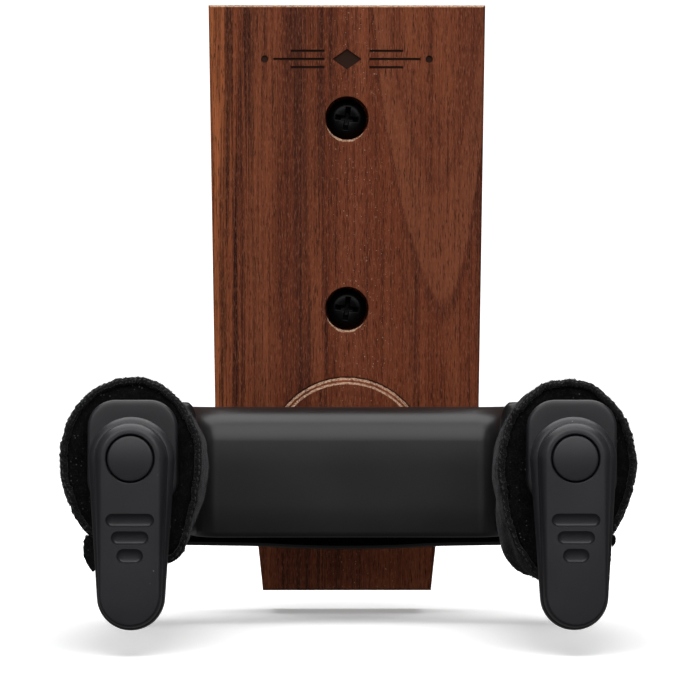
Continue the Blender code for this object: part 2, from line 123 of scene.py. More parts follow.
def arm_frame(joint_name, forward_sign):
    """Local frame at a gate's pivot: X across, -Y forward along the arm, Z up."""
    joint = JOINTS[joint_name]
    forward = Vector(joint["axis"]).normalized() * forward_sign
    across = Vector((1, 0, 0))
    up = forward.cross(across)
    matrix = Matrix((across, -forward, up)).transposed().to_4x4()
    matrix.translation = Vector(joint["pos_m"])
    return matrix


ARM = {"left": arm_frame("left_gate_turn", 1), "right": arm_frame("right_gate_turn", -1)}
YOKE = ARM["left"].copy()
YOKE.translation = (ARM["left"].translation + ARM["right"].translation) / 2
SWIVEL_Z = JOINTS["yoke_swivel"]["pos_m"][2]
BOXES = {}


def local_box(node, matrix):
    """Lowest and highest corner of a CAD node in its local frame."""
    if node not in BOXES:
        back = matrix.inverted()
        points = [back @ v.co for v in NODES[node].data.vertices]
        low = Vector([min(p[i] for p in points) for i in range(3)])
        high = Vector([max(p[i] for p in points) for i in range(3)])
        BOXES[node] = (low, high)
    return BOXES[node]


# -- Mesh making --


def new_piece(name, mesh, matrix=None, sharp=35):
    """An object whose mesh is moved by a matrix and shaded smooth."""
    if matrix is not None:
        mesh.transform(matrix)
    crisp(mesh, sharp)
    obj = bpy.data.objects.new(name, mesh)
    SCENE.collection.objects.link(obj)
    return obj


def crisp(mesh, angle):
    """Smooth shading, broken only at edges sharper than an angle."""
    mesh.shade_smooth()
    if angle is not None:
        mesh.set_sharp_from_angle(angle=radians(angle))


def mesh_of(shape, name):
    bmesh.ops.recalc_face_normals(shape, faces=shape.faces)
    mesh = bpy.data.meshes.new(name)
    shape.to_mesh(mesh)
    shape.free()
    return mesh


def loft(name, rings, closed=False, caps=True):
    """A solid through rings of equal length: capped at both ends, or joined last to first."""
    shape = bmesh.new()
    rows = [[shape.verts.new(p) for p in ring] for ring in rings]
    pairs = list(zip(rows, rows[1:]))
    if closed:
        pairs.append((rows[-1], rows[0]))
    count = len(rows[0])
    for low, high in pairs:
        for i in range(count):
            j = (i + 1) % count
            shape.faces.new((low[i], low[j], high[j], high[i]))
    if caps and not closed:
        shape.faces.new(rows[0][::-1])
        shape.faces.new(rows[-1])
    return mesh_of(shape, name)


def solid(name, rings, matrix=None, sharp=35, closed=False):
    """An object lofted through rings."""
    return new_piece(name, loft(name, rings, closed), matrix, sharp)


def arc(centre, radius, start, end, count):
    """Points on a circle from one angle to another, in degrees, both ends included."""
    step = (end - start) / count
    angles = [radians(start + step * i) for i in range(count + 1)]
    return [(centre[0] + radius * cos(a), centre[1] + radius * sin(a)) for a in angles]


def mirrored(half):
    """Closes an outline from its right half, whose ends may lie on the middle line."""
    return half + [(-x, y) for x, y in reversed(half) if abs(x) > 0.001 * MM]


def inset(outline, distance):
    """Moves a counter-clockwise outline inwards by a number, or by one value for each point."""
    moved = []
    count = len(outline)
    for i, point in enumerate(outline):
        here = Vector(point)
        ahead = (Vector(outline[(i + 1) % count]) - here).normalized()
        behind = (here - Vector(outline[i - 1])).normalized()
        normal = Vector((-ahead.y - behind.y, ahead.x + behind.x))
        normal /= 1 + ahead.dot(behind)
        amount = distance[i] if isinstance(distance, list) else distance
        moved.append(tuple(here + normal * amount))
    return moved


def turned_rings(profile, steps):
    """Rings about the Y axis through (radius, y) points."""
    turn = [2 * pi * i / steps for i in range(steps)]
    return [[(radius * cos(a), y, radius * sin(a)) for a in turn] for radius, y in profile]


def upright(outline, y):
    """An outline in XZ as points at one depth."""
    return [(x, y, z) for x, z in outline]


def cut(obj, tool_mesh, operation="DIFFERENCE"):
    """Applies a Boolean with a mesh given in the object's own space, and welds the seam."""
    tool = bpy.data.objects.new("tool", tool_mesh)
    SCENE.collection.objects.link(tool)
    boolean = obj.modifiers.new("cut", "BOOLEAN")
    boolean.operation = operation
    boolean.solver = "EXACT"
    boolean.object = tool
    apply_modifiers(obj)
    bpy.data.objects.remove(tool, do_unlink=True)


def apply_modifiers(obj, weld=0.002 * MM):
    """Makes an object's modifiers real and welds the result."""
    graph = bpy.context.evaluated_depsgraph_get()
    made = bpy.data.meshes.new_from_object(obj.evaluated_get(graph))
    shape = bmesh.new()
    shape.from_mesh(made)
    bmesh.ops.remove_doubles(shape, verts=shape.verts, dist=weld)
    bmesh.ops.dissolve_degenerate(shape, edges=shape.edges, dist=weld)
    shape.to_mesh(made)
    shape.free()
    obj.modifiers.clear()
    obj.data = made


def flatten(mesh):
    """Splits the long faces a Boolean leaves, and keeps the flat ones flat."""
    shape = bmesh.new()
    shape.from_mesh(mesh)
    bmesh.ops.triangulate(shape, faces=shape.faces, quad_method="BEAUTY", ngon_method="BEAUTY")
    shape.to_mesh(mesh)
    shape.free()
    crisp(mesh, 30)
    for polygon in mesh.polygons:
        polygon.use_smooth = abs(polygon.normal.y) < 0.9995


def stand_for(obj, body, slot, *nodes):
    """The piece rides on a body and replaces CAD nodes; the slot argument is not used."""
    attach(obj, body)
    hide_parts(*nodes)


# -- Materials --

# The plate's broad stripes: middle and width in millimetres, strength and colour
BANDS = (
    (-32, 3.8, 0.95, (0.42, 0.125, 0.043)),
    (-20, 3, 0.4, (0.23, 0.07, 0.03)),
    (-11, 2.6, 0.55, (0.075, 0.019, 0.01)),
    (2, 3.5, 0.3, (0.24, 0.068, 0.034)),
    (31, 3, 0.3, (0.12, 0.034, 0.02)),
)


class Graph:
    """A material's node tree, with short calls for the nodes used below."""

    def __init__(self, name, colour, roughness, metallic=0):
        self.mat = bpy.data.materials.new(name)
        self.mat.use_nodes = True
        self.tree = self.mat.node_tree
        self.shader = self.tree.nodes["Principled BSDF"]
        self.set("Base Color", (*colour, 1))
        self.set("Roughness", roughness)
        self.set("Metallic", metallic)
        self.place = self.tree.nodes.new("ShaderNodeTexCoord").outputs["Object"]

    def set(self, socket, value):
        self.shader.inputs[socket].default_value = value

    def link(self, value, socket):
        if hasattr(value, "links"):
            self.tree.links.new(value, socket)
        else:
            socket.default_value = value

    def node(self, kind, inputs):
        """A node with values or links given to its inputs."""
        node = self.tree.nodes.new("ShaderNode" + kind)
        for socket, value in inputs.items():
            self.link(value, node.inputs[socket])
        return node

    def axis(self, index):
        return self.node("SeparateXYZ", {0: self.place}).outputs[index]

    def noise(self, scale, detail=4, rough=0.55, stretch=None, distortion=0):
        inputs = {"Scale": scale, "Detail": detail, "Roughness": rough, "Distortion": distortion}
        inputs["Vector"] = self.place
        if stretch:
            stretched = self.node("VectorMath", {0: self.place, 1: stretch})
            stretched.operation = "MULTIPLY"
            inputs["Vector"] = stretched.outputs[0]
        return self.node("TexNoise", inputs).outputs["Fac"]

    def cells(self, scale):
        return self.node("TexVoronoi", {"Vector": self.place, "Scale": scale}).outputs["Distance"]

    def math(self, operation, a, b):
        node = self.node("Math", {0: a, 1: b})
        node.operation = operation
        return node.outputs[0]

    def times(self, a, b):
        return self.math("MULTIPLY", a, b)

    def less(self, a, b):
        return self.math("SUBTRACT", a, b)

    def ramp(self, value, *stops):
        """Stops are (position, grey or colour)."""
        node = self.node("ValToRGB", {0: value})
        elements = node.color_ramp.elements
        while len(elements) < len(stops):
            elements.new(0.5)
        for element, (position, colour) in zip(elements, stops):
            element.position = position
            rgb = colour if isinstance(colour, tuple) else (colour,) * 3
            element.color = (*rgb, 1)
        return node.outputs[0]

    def mix(self, factor, a, b):
        node = self.node("Mix", {})
        node.data_type = "RGBA"
        self.link(factor, node.inputs["Factor"])
        for value, index in ((a, 6), (b, 7)):
            if isinstance(value, tuple):
                value = (*value, 1)
            self.link(value, node.inputs[index])
        return node.outputs[2]

    def blend(self, value, low, high, a, b):
        """Colours the surface from a to b as a value goes from low to high."""
        self.colour(self.mix(self.ramp(value, (low, 0), (high, 1)), a, b))

    def colour(self, value):
        self.link(value, self.shader.inputs["Base Color"])

    def roughness(self, value):
        self.link(value, self.shader.inputs["Roughness"])

    def bump(self, *layers):
        """Each layer is (height output, strength, distance in metres)."""
        normal = None
        for height, strength, distance in layers:
            inputs = {"Strength": strength, "Distance": distance, "Height": height}
            if normal:
                inputs["Normal"] = normal
            normal = self.node("Bump", inputs).outputs[0]
        self.link(normal, self.shader.inputs["Normal"])


def walnut(name, cut_grain_and_highlight=False):
    """Oiled walnut: straight grain on the plate's left, an arch on its right."""
    g = Graph(name, (0.1, 0.035, 0.02), 0.5)
    g.set("Specular IOR Level", 0.06)
    x, z = g.axis(0), g.axis(2)
    drift = g.noise(1, 2, 0.5, (45, 45, 14))
    across = g.math("ADD", x, g.times(g.less(drift, 0.5), 7 * MM))
    broad = g.noise(1, 3, 0.55, (150, 150, 4), 0.4)
    light, middle, deep = (0.232, 0.065, 0.0275), (0.17, 0.0415, 0.017), (0.1, 0.0225, 0.0098)
    tone = g.ramp(broad, (0.28, deep), (0.48, middle), (0.72, light))

    def band(centre, width, strength):
        away = g.math("DIVIDE", g.less(across, centre * MM), width * MM)
        bell = g.math("POWER", 2.718, g.times(g.times(away, away), -1))
        return g.times(bell, strength)

    for centre, width, strength, shade in BANDS:
        tone = g.mix(band(centre, width, strength), tone, shade)
    # an arch of paler wood with a dark outline, its foot low on the right
    arch_x = g.math("DIVIDE", g.less(across, 21.5 * MM), 9.5 * MM)
    height = g.math("DIVIDE", g.math("ADD", z, 22 * MM), 27 * MM)
    arch = g.less(height, g.times(arch_x, arch_x))
    inside = g.ramp(arch, (0, 0), (0.12, 0.75), (0.9, 0.55), (1, 0.25))
    tone = g.mix(inside, tone, (0.22, 0.067, 0.031))
    outline = g.ramp(g.math("ADD", arch, 0.5), (0.3, 0), (0.46, 0.75), (0.52, 0.65), (0.6, 0))
    tone = g.mix(outline, tone, (0.105, 0.027, 0.0135))
    above = g.less(arch, 0.95)
    crest = g.ramp(above, (0.02, 0), (0.14, 0.55), (0.34, 0.05), (0.5, 0.4), (0.8, 0))
    tone = g.mix(crest, tone, (0.12, 0.032, 0.016))
    # lines along the grain, heavier toward the left edge
    lines = g.noise(1, 6, 0.72, (1500, 1500, 16), 0.15)
    outside = g.less(1, g.times(inside, 0.8))
    grain = g.times(g.ramp(lines, (0.36, 0.9), (0.5, 0)), outside)
    tone = g.mix(grain, tone, (0.058, 0.015, 0.0085))
    heavy = g.ramp(g.noise(1, 5, 0.68, (1050, 1050, 10), 0.3), (0.42, 1), (0.53, 0))
    tone = g.mix(g.times(heavy, band(-25.5, 4.2, 1)), tone, (0.015, 0.005, 0.004))
    tone = g.mix(g.times(heavy, band(-9, 7, 0.75)), tone, (0.03, 0.009, 0.006))
    pores = g.noise(1, 2, 0.6, (6500, 6500, 420))
    pits = g.ramp(pores, (0.34, 1), (0.44, 0))
    tone = g.mix(g.times(pits, 0.9), tone, (0.025, 0.008, 0.0045))
    flecks = g.ramp(g.noise(1, 3, 0.6, (5200, 5200, 700)), (0.52, 0), (0.68, 0.45))
    tone = g.mix(flecks, tone, (0.36, 0.127, 0.066))
    glints = g.ramp(g.noise(2600, 1), (0.735, 0), (0.76, 0.8))
    tone = g.mix(g.times(glints, band(3, 7, 1)), tone, (0.6, 0.42, 0.3))
    # Pale torn wood: cut grain on the disc's chamfer; on the plate's up-facing chamfers and counterbore rims
    # it is also painted highlight.
    if cut_grain_and_highlight:
        torn = g.noise(2300, 3, 0.7)
        tone = g.mix(g.ramp(torn, (0.4, 0.15), (0.58, 0.9)), tone, (0.6, 0.4, 0.27))
        g.colour(tone)
        g.roughness(g.ramp(torn, (0.3, 0.6), (0.7, 0.85)))
        g.bump((torn, 0.8, 0.2 * MM))
        return g.mat
    g.colour(tone)
    g.roughness(g.ramp(lines, (0.3, 0.66), (0.7, 0.46)))
    g.bump((lines, 0.2, 0.1 * MM), (pits, -0.35, 0.08 * MM))
    return g.mat


def moulded(name, colour, roughness, grain, dust=0, gloss=0.5):
    """Moulded plastic or a dull coating, with a fine grain and perhaps some dust."""
    g = Graph(name, colour, roughness)
    g.set("Specular IOR Level", gloss)
    mottle = g.noise(70, 4, 0.6)
    lighter = tuple(min(1, c * 1.25 + 0.0005) for c in colour)
    darker = tuple(c * 0.85 for c in colour)
    tone = g.mix(g.ramp(mottle, (0.3, 0), (0.7, 1)), darker, lighter)
    if dust:
        lint = g.ramp(g.cells(420), (0.035, dust), (0.06, 0))
        rare = g.ramp(g.noise(160, 2), (0.56, 0), (0.62, 1))
        tone = g.mix(g.times(lint, rare), tone, (0.35, 0.34, 0.33))
    g.colour(tone)
    g.roughness(g.ramp(g.noise(90, 3), (0.2, roughness - 0.015), (0.8, roughness + 0.02)))
    g.bump((g.noise(grain, 3, 0.6), 0.12, 0.05 * MM))
    return g.mat


def felt(name, colour, hair_colour, sheen, lint_cover):
    """Black felt: clumps, fine hair and a little pale lint."""
    g = Graph(name, colour, 0.95)
    g.set("Specular IOR Level", 0.1)
    g.set("Sheen Weight", sheen)
    g.set("Sheen Roughness", 0.4)
    g.set("Sheen Tint", (0.5, 0.5, 0.53, 1))
    clumps = g.noise(420, 4, 0.7)
    hair = g.noise(3000, 3, 0.75)
    light = tuple(c * 4 for c in colour)
    tone = g.mix(g.ramp(clumps, (0.4, 0), (0.75, 0.8)), colour, light)
    tone = g.mix(g.ramp(hair, (0.52, 0), (0.72, 0.7)), tone, hair_colour)
    lint = g.ramp(g.cells(1100), (0.06, lint_cover), (0.19, 0))
    rare = g.ramp(g.noise(300, 2), (0.48, 0), (0.6, 1))
    g.colour(g.mix(g.times(lint, rare), tone, (0.2, 0.2, 0.2)))
    g.bump((clumps, 0.5, 0.3 * MM), (hair, 0.6, 0.12 * MM))
    return g.mat


def thread():
    g = Graph("stitch_thread", (0.018, 0.018, 0.019), 0.8)
    g.set("Sheen Weight", 0.3)
    twist = g.noise(2200, 3, 0.6)
    g.blend(twist, 0.35, 0.7, (0.004, 0.004, 0.0045), (0.02, 0.02, 0.021))
    g.bump((twist, 0.5, 0.1 * MM))
    return g.mat


def foam():
    g = Graph("black_foam", (0.02, 0.02, 0.021), 0.95)
    pores = g.cells(1500)
    g.blend(pores, 0.2, 0.6, (0.008, 0.008, 0.008), (0.035, 0.035, 0.036))
    g.bump((pores, 0.6, 0.2 * MM))
    return g.mat


def metal(name, colour, roughness):
    g = Graph(name, colour, roughness, 1)
    brushed = g.noise(1, 4, 0.6, (400, 400, 400))
    spots = g.noise(160, 3, 0.6)
    dull = tuple(c * 0.72 for c in colour)
    g.colour(g.mix(g.ramp(spots, (0.35, 0), (0.75, 0.8)), colour, dull))
    g.roughness(g.ramp(brushed, (0.3, roughness - 0.08), (0.7, roughness + 0.12)))
    g.bump((brushed, 0.15, 0.03 * MM))
    return g.mat


def nylon():
    g = Graph("natural_nylon", (0.72, 0.7, 0.63), 0.45)
    g.set("Subsurface Weight", 0.15)
    g.set("Subsurface Scale", 0.002)
    cloud = g.noise(120, 3, 0.5)
    g.blend(cloud, 0.3, 0.7, (0.66, 0.63, 0.55), (0.78, 0.76, 0.7))
    g.bump((g.noise(700, 3), 0.1, 0.05 * MM))
    return g.mat


WALNUT = walnut("oiled_walnut")
# Pale cut wood: real cut grain, and painted highlight where the plate puts it on faces turned up.
CUT_WALNUT_AND_HIGHLIGHT = walnut("cut_walnut_and_highlight", True)
BURNT_WALNUT = moulded("burnt_walnut", (0.03, 0.012, 0.007), 0.7, 900, gloss=0.1)
SHELL_PLASTIC = moulded("black_moulding", (0.0072, 0.007, 0.0077), 0.32, 500)
# Near-black dull plastic for the cover's inner walls and ceiling: painted shade in the hollow under the cover.
SHELL_INSIDE_SHADE = moulded("shell_inside_painted_shade", (0.001, 0.001, 0.001), 0.75, 500, gloss=0.06)
CAP_PLASTIC = moulded("charcoal_moulding", (0.0125, 0.0125, 0.0152), 0.38, 800, 0.5)
GATE_PLASTIC = moulded("gate_moulding", (0.0138, 0.0132, 0.0168), 0.38, 800, 0.5)
FELT = felt("black_felt", (0.0042, 0.0042, 0.0046), (0.042, 0.042, 0.044), 0.16, 0.6)
PANEL_FELT = felt("black_velvet", (0.0015, 0.0015, 0.0017), (0.02, 0.02, 0.021), 0.025, 0.5)
# Paler felt for the loose fibres: grey hair, and lighter still as painted sheen along the fuzzy rim.
FIBRES_AND_SHEEN = felt("felt_fibres_and_painted_sheen", (0.02, 0.02, 0.021), (0.16, 0.16, 0.165), 0.3, 0.8)
THREAD = thread()
FOAM = foam()
STEEL = metal("zinc_plate", (0.52, 0.52, 0.5), 0.34)
BLACK_SCREW = moulded("black_zinc", (0.0015, 0.0015, 0.0016), 0.3, 1500, gloss=0.12)
NYLON = nylon()


def paint(obj, *materials):
    obj.data.materials.clear()
    for material in materials:
        obj.data.materials.append(material)


# -- Wall pieces --


def cylinder_mesh(radius, rear, front, x=0, z=0, steps=48):
    mesh = loft("tool", turned_rings([(radius, rear), (radius, front)], steps))
    mesh.transform(Matrix.Translation((x, 0, z)))
    return mesh


def make_plate():
    """The CAD plate with softened edges, small countersinks and a plain engraved ornament."""
    mesh = NODES["backplate"].data.copy()
    mesh.name = "walnut_plate"
    plate = new_piece("walnut_plate", mesh)
    low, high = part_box("backplate")
    face = low.y
    shape = bmesh.new()
    shape.from_mesh(mesh)
    bmesh.ops.remove_doubles(shape, verts=shape.verts, dist=0.001 * MM)
    bmesh.ops.dissolve_limit(shape, angle_limit=radians(0.5), verts=shape.verts, edges=shape.edges)
    shape.to_mesh(mesh)
    shape.free()
    for name in ("wall_screw_upper", "wall_screw_lower"):
        bottom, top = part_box(name)
        z = (bottom.z + top.z) / 2
        cut(plate, torn_rim(face, z))
    for tool in ornament_tools(face, high.z):
        cut(plate, tool)
    paint(plate, WALNUT, CUT_WALNUT_AND_HIGHLIGHT, BURNT_WALNUT)
    # Pale cut wood on the counterbore rims and on chamfers that face up: cut grain, and painted highlight
    # where light from above falls; burnt wood in the engraving.
    for polygon in plate.data.polygons:
        centre, normal = polygon.center, polygon.normal
        slanted = -0.97 < normal.y < -0.2
        at_hole = abs(centre.x) < COUNTERBORE_RADIUS + 2 * MM and abs(centre.z) < 30 * MM
        engraved = face + 0.05 * MM < centre.y < face + 1.2 * ENGRAVE_DEPTH
        if slanted and (at_hole or normal.z > 0.5):
            polygon.material_index = 1
        elif engraved and centre.z > 30 * MM:
            polygon.material_index = 2
    flatten(plate.data)
    stand_for(plate, "plate", "walnut", "backplate")


def torn_rim(face, z):
    """A ragged countersink that only bites below a counterbore, where the drill tore the grain; the plate
    paints it pale cut wood, partly as painted highlight.
    """
    chooser = random.Random(int(z * 1e5))
    rings = []
    for depth, spread in ((0.7, -0.75), (-0.4, 0.35)):
        ring = []
        for i in range(72):
            angle = 2 * pi * i / 72
            lower = max(0, -sin(angle + 0.15)) ** 0.8
            ragged = 1 + chooser.uniform(-0.25, 0.25)
            radius = COUNTERBORE_RADIUS + spread * MM
            radius += (lower * 1.15 - 0.6) * MM * ragged
            ring.append((radius * cos(angle), face + depth * MM, z + radius * sin(angle)))
        rings.append(ring)
    return loft("tool", rings)


def ornament_tools(face, top):
    """Cutters for a generic ornament: a lozenge between two rules, each rule ending in a dot."""
    z = top - 12.5 * MM
    rear, front = face + ENGRAVE_DEPTH, face - MM
    lozenge = [(3.4 * MM, z), (0, z + 2.4 * MM), (-3.4 * MM, z), (0, z - 2.4 * MM)]
    tools = [loft("tool", [upright(lozenge, rear), upright(lozenge, front)])]
    for side in (-1, 1):
        for offset, reach in ((0, 17 * MM), (-1.9 * MM, 13 * MM), (1.9 * MM, 13 * MM)):
            start, half = 5.2 * MM, 0.28 * MM
            corners = ((start, -half), (reach, -half), (reach, half), (start, half))
            bar = [(side * x, z + offset + height) for x, height in corners]
            tools.append(loft("tool", [upright(bar, rear), upright(bar, front)]))
        tools.append(cylinder_mesh(0.85 * MM, rear, front, side * 19 * MM, z, 24))
    return tools


def make_disc():
    """The pivot disc: an oiled face inside a pale rough-cut chamfer."""
    low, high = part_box("pivot_disc")
    centre_z = (low.z + high.z) / 2
    radius = (high.x - low.x) / 2
    face, rear = low.y, high.y
    chamfer, bore = DISC_CHAMFER, DISC_BORE
    profile = [(bore, rear), (radius, rear), (radius, face + chamfer)]
    profile += [(radius - chamfer * t, face + chamfer * (1 - t)) for t in (0.36, 0.5, 0.67)]
    profile += [(radius - chamfer, face), (radius - chamfer - 0.4 * MM, face)]
    profile += [(radius - chamfer - 1.2 * MM, face), (bore + MM, face), (bore, face)]
    steps = 240
    rings = turned_rings(profile, steps)
    chooser = random.Random(5)
    for index in (2, 3, 4, 5):
        ring = rings[index]
        for i, (x, y, z) in enumerate(ring):
            wobble = 1 + chooser.uniform(-1, 1) * 0.0035
            ring[i] = (x * wobble, y + chooser.uniform(0, 0.07) * MM, z * wobble)
    disc = solid("pivot_disc_wood", rings, closed=True)
    disc.data.transform(Matrix.Translation((0, 0, centre_z)))
    paint(disc, WALNUT, CUT_WALNUT_AND_HIGHLIGHT)
    outer_rim, inner_rim = 2, 5
    for polygon in disc.data.polygons:
        if polygon.index // steps in (outer_rim, inner_rim):
            polygon.material_index = 1
    stand_for(disc, "plate", "disc_walnut", "pivot_disc")


def make_wall_screw(name, turn):
    """A threaded pan-head screw with a cross recess."""
    low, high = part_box(name)
    z = (low.z + high.z) / 2
    head_radius = (high.x - low.x) / 2
    front, tip = low.y, high.y
    seat = front + SCREW_HEAD
    pitch, core, depth = 2.1 * MM, 1.7 * MM, 0.62 * MM
    steps, per_turn = 28, 7
    rings = []
    y = tip
    count = int((tip - seat - 3 * MM) / pitch * per_turn)
    for row in range(count + 1):
        ring = []
        taper = min(1, (row + 0.6) / (2.6 * per_turn))
        for i in range(steps):
            turn_part = i / steps
            phase = (row / per_turn + turn_part) % 1
            ridge = max(0, 1 - abs(phase - 0.5) * 4.2)
            radius = core * taper + depth * ridge * min(1, row / per_turn)
            angle = -2 * pi * turn_part
            ring.append((radius * cos(angle), y, radius * sin(angle)))
        rings.append(ring)
        y -= pitch / per_turn
    crown = [(2 * MM, seat + 2.6 * MM), (2.2 * MM, seat + 0.3 * MM), (2.5 * MM, seat)]
    crown += [(head_radius - 0.2 * MM, seat), (head_radius, seat - 0.3 * MM), (head_radius, seat - 1.3 * MM)]
    for i in range(1, 7):
        angle = radians(15 * i)
        radius = head_radius - 2.2 * MM + 2.2 * MM * cos(angle)
        crown.append((radius, seat - 1.3 * MM - 1.9 * MM * sin(angle)))
    angles = [-2 * pi * i / steps for i in range(steps)]
    rings += [[(radius * cos(a), height, radius * sin(a)) for a in angles] for radius, height in crown]
    screw = solid(f"{name}_threaded", rings)
    for slot_turn in (turn, turn + 90):
        wide, narrow, long, short = 0.6 * MM, 0.4 * MM, 2.9 * MM, 1.4 * MM
        mouth = [(long, -wide), (long, wide), (-long, wide), (-long, -wide)]
        floor = [(short, -narrow), (short, narrow), (-short, narrow), (-short, -narrow)]
        tool = loft("tool", [upright(floor, front + 2 * MM), upright(mouth, front - 0.2 * MM)])
        tool.transform(Matrix.Rotation(radians(slot_turn), 4, "Y"))
        cut(screw, tool)
    bevel = screw.modifiers.new("soften", "BEVEL")
    bevel.width = 0.08 * MM
    bevel.segments = 2
    bevel.limit_method = "ANGLE"
    bevel.angle_limit = radians(40)
    apply_modifiers(screw, 0.0005 * MM)
    screw.data.transform(Matrix.Translation((0, 0, z)))
    crisp(screw.data, 32)
    paint(screw, BLACK_SCREW)
    stand_for(screw, "plate", "black_zinc", name)


# -- Yoke --


def shell_outline(rear, stub_end, gap_half, shell_half):
    """The yoke in plan, counter-clockwise: hub bulge behind, flat wall in front, two arm stubs."""
    bulge, lead = 30, 8
    blend = 16 * MM
    half = arc((0, rear - HUB_ARC), HUB_ARC, 90, 90 - bulge, 14)
    x = (HUB_ARC + blend) * sin(radians(bulge))
    y = rear + (HUB_ARC + blend) * cos(radians(bulge)) - HUB_ARC
    hollow = arc((x, y), blend, 270 - bulge, 270 - lead, 8)
    half += hollow[1:]
    slope = tan(radians(lead))
    corner_x = shell_half - SHELL_CORNER
    start_x = corner_x + SHELL_CORNER * sin(radians(lead))
    start_y = hollow[-1][1] - (start_x - hollow[-1][0]) * slope
    corner_y = start_y - SHELL_CORNER * cos(radians(lead))
    half += arc((corner_x, corner_y), SHELL_CORNER, 90 - lead, 0, 14)
    round_end = 3.6 * MM
    half += arc((shell_half - round_end, stub_end + round_end), round_end, 0, -90, 6)
    half += arc((gap_half + round_end, stub_end + round_end), round_end, -90, -180, 6)
    inner = (gap_half - INNER_FILLET, rear - WEB_DEPTH - INNER_FILLET)
    half += arc(inner, INNER_FILLET, 0, 90, 10)
    half += [(inner[0] * t / 6, rear - WEB_DEPTH) for t in (5, 4, 3, 2, 1, 0)]
    return mirrored(half)[::-1]


def make_shell():
    """The moulded cover: filleted above, open below, a little deeper at the rear."""
    low, high = local_box("yoke_shell", YOKE)
    stub_end = low.y
    rear = stub_end + STUB_REACH
    outline = shell_outline(rear, stub_end, GAP_HALF, high.x)
    top = WEB_RISE + WEB_HEIGHT / 2

    def near_stub(y):
        return max(0, min(1, (y - stub_end - 1 * MM) / (6 * MM)))

    outer_fillet = [STUB_FILLET + (TOP_FILLET - STUB_FILLET) * near_stub(y) for x, y in outline]
    inner_fillet = [0.6 * MM + (4.4 * MM - 0.6 * MM) * near_stub(y) for x, y in outline]

    def ring(offsets, heights):
        return [(x, y, z) for (x, y), z in zip(inset(outline, offsets), heights)]

    floor = WEB_RISE - WEB_HEIGHT / 2
    bottoms = [floor - REAR_DROP * (1 + (y - rear) / WEB_DEPTH) for x, y in outline]
    rings = []
    for i in range(10):
        angle = radians(10 * i)
        offsets = [r * (1 - sin(angle)) for r in outer_fillet]
        rings.append(ring(offsets, [top - r * (1 - cos(angle)) for r in outer_fillet]))
    lip = SHELL_WALL / 2
    for t in (0.3, 0.7):
        heights = [(1 - t) * (top - r) + t * (b + lip) for r, b in zip(outer_fillet, bottoms)]
        rings.append(ring(0, heights))
    first_inside = (len(rings) + 7) * len(outline)
    for i in range(9):
        angle = radians(22.5 * i)
        rings.append(ring(lip * (1 - cos(angle)), [b + lip * (1 - sin(angle)) for b in bottoms]))
    ceiling = top - SHELL_WALL
    for t in (0.3, 0.7):
        heights = [(1 - t) * (b + lip) + t * (ceiling - r) for r, b in zip(inner_fillet, bottoms)]
        rings.append(ring(SHELL_WALL, heights))
    for i in range(7):
        angle = radians(90 - 15 * i)
        offsets = [SHELL_WALL + r * (1 - sin(angle)) for r in inner_fillet]
        rings.append(ring(offsets, [ceiling - r * (1 - cos(angle)) for r in inner_fillet]))
    shell = solid("yoke_cover", rings, YOKE)
    paint(shell, SHELL_PLASTIC, SHELL_INSIDE_SHADE)
    roof = (len(rings) - 1) * len(outline)
    # Inner walls and ceiling get the near-black material: painted shade in the open underside.
    for polygon in shell.data.polygons:
        polygon.material_index = 1 if polygon.index >= first_inside and polygon.index != roof else 0
    hub_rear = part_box("yoke_shell")[1].y
    hub = [(HUB_RADIUS, -30 * MM), (HUB_RADIUS, hub_rear - 0.5 * MM), (HUB_RADIUS - 0.5 * MM, hub_rear)]
    hub_mesh = loft("tool", turned_rings(hub, 72))
    hub_mesh.transform(Matrix.Translation((0, 0, SWIVEL_Z)))
    cut(shell, hub_mesh, "UNION")
    cut(shell, cylinder_mesh(4.3 * MM, -32 * MM, -20 * MM, 0, SWIVEL_Z))
    for side in ARM:
        bore = cylinder_mesh(ARM_BORE, stub_end - MM, stub_end + 6 * MM)
        x = ARM[side].translation.x
        bore.transform(YOKE @ Matrix.Translation((x, 0, 0)))
        cut(shell, bore)
    crisp(shell.data, 38)
    stand_for(shell, "yoke", "black_plastic", "yoke_shell")


# -- Padded arms --


def arm_radius(angle, half, above, below):
    """A point on the padded arm's section: round above, narrower and longer below."""
    rise = sin(angle)
    reach = above if rise > 0 else below
    narrowing = 1 - PAD_TAPER * max(0, -rise) ** 1.5
    return half * cos(angle) * narrowing, reach * rise


def bell(value, centre, width):
    return exp(-(((value - centre) / width) ** 2))


def ease(value, start, end):
    t = max(0, min(1, (value - start) / (end - start)))
    return t * t * (3 - 2 * t)


# How far the cloth run creased each sleeve outward, as rows of columns
SETTLED = {}


def settled(side, angle, along):
    """The cloth run's outward move at one place, read between its rows and columns."""
    field = SETTLED.get(side)
    if not field:
        return 0
    rows = len(field) - 1
    columns = len(field[0])
    row = max(0, min(0.9999, along)) * rows
    column = (angle / (2 * pi)) % 1 * columns
    i, j = int(row), int(column) % columns
    beside = (j + 1) % columns
    down, across = row - i, column - int(column)
    near = field[i][j] * (1 - across) + field[i][beside] * across
    far = field[i + 1][j] * (1 - across) + field[i + 1][beside] * across
    return near * (1 - down) + far * down


